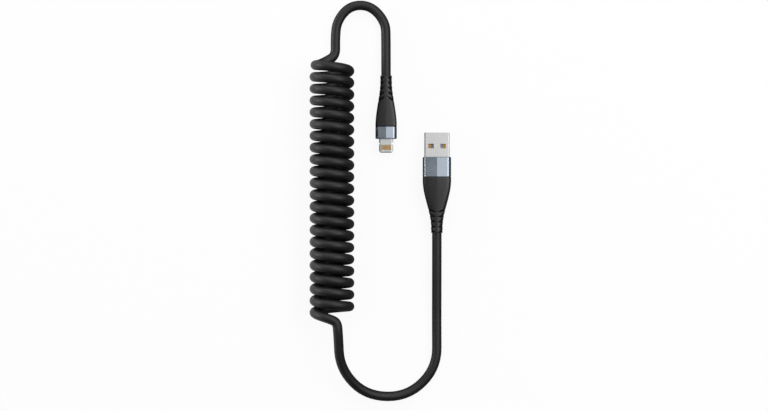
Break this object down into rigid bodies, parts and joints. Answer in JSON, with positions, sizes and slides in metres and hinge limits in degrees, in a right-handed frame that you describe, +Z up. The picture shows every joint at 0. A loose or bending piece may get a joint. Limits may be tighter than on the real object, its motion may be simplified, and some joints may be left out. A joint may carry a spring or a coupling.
{
  "type": "coiled charging cable",
  "caption": "Curly black charging cable lying flat, with a flat steel-shell charger plug on one end and a small tab plug for a phone on the other, each with a metal collar and ribbed boot.",
  "frame": {"origin": "on the surface the cable lies on, under the middle of the box that holds the two plugs", "axes": "+Z up from that surface, +Y along the coil's axis and the charger plug, towards its tip, +X from the coil towards the charger plug"},
  "size_m": [0.0678, 0.1939, 0.0214],
  "materials": {
    "cord_jacket": "matt black",
    "boot_rubber": "satin black",
    "collar_metal": "anodised, satin blue grey",
    "shell_steel": "nickel plated, satin",
    "tab_steel": "polished edges, satin faces",
    "contact_gold": "gold plated",
    "insulator_plastic": "moulded grey",
    "carrier_plastic": "moulded light grey",
    "mould_plastic": "moulded dark grey",
    "board_laminate": "green solder mask",
    "chip_plastic": "moulded black",
    "capacitor_ceramic": "fired ceramic",
    "solder": "bright tin",
    "wire_red": "insulation",
    "wire_white": "insulation",
    "wire_green": "insulation",
    "wire_black": "insulation"
  },
  "bodies": {
    "root": {"charger_lead": "cord_jacket", "charger_plug_boot": "boot_rubber", "charger_plug_collar": "collar_metal", "charger_plug_contact_1": "contact_gold", "charger_plug_contact_2": "contact_gold", "charger_plug_contact_3": "contact_gold", "charger_plug_contact_4": "contact_gold", "charger_plug_inner_mould": "mould_plastic", "charger_plug_insulator": "insulator_plastic", "charger_plug_shell": "shell_steel", "charger_plug_solder_1": "solder", "charger_plug_solder_2": "solder", "charger_plug_solder_3": "solder", "charger_plug_solder_4": "solder", "charger_plug_wire_1": "wire_red", "charger_plug_wire_2": "wire_white", "charger_plug_wire_3": "wire_green", "charger_plug_wire_4": "wire_black", "coil": "cord_jacket", "phone_lead": "cord_jacket", "phone_plug_boot": "boot_rubber", "phone_plug_capacitor": "capacitor_ceramic", "phone_plug_circuit_board": "board_laminate", "phone_plug_collar": "collar_metal", "phone_plug_contact_carrier": "carrier_plastic", "phone_plug_controller_chip": "chip_plastic", "phone_plug_inner_mould": "mould_plastic", "phone_plug_lower_contact_1": "contact_gold", "phone_plug_lower_contact_2": "contact_gold", "phone_plug_lower_contact_3": "contact_gold", "phone_plug_lower_contact_4": "contact_gold", "phone_plug_lower_contact_5": "contact_gold", "phone_plug_lower_contact_6": "contact_gold", "phone_plug_lower_contact_7": "contact_gold", "phone_plug_lower_contact_8": "contact_gold", "phone_plug_resistor": "chip_plastic", "phone_plug_solder_1": "solder", "phone_plug_solder_2": "solder", "phone_plug_solder_3": "solder", "phone_plug_solder_4": "solder", "phone_plug_tab_frame": "tab_steel", "phone_plug_upper_contact_1": "contact_gold", "phone_plug_upper_contact_2": "contact_gold", "phone_plug_upper_contact_3": "contact_gold", "phone_plug_upper_contact_4": "contact_gold", "phone_plug_upper_contact_5": "contact_gold", "phone_plug_upper_contact_6": "contact_gold", "phone_plug_upper_contact_7": "contact_gold", "phone_plug_upper_contact_8": "contact_gold", "phone_plug_wire_1": "wire_red", "phone_plug_wire_2": "wire_white", "phone_plug_wire_3": "wire_green", "phone_plug_wire_4": "wire_black"}
  },
  "joints": []
}
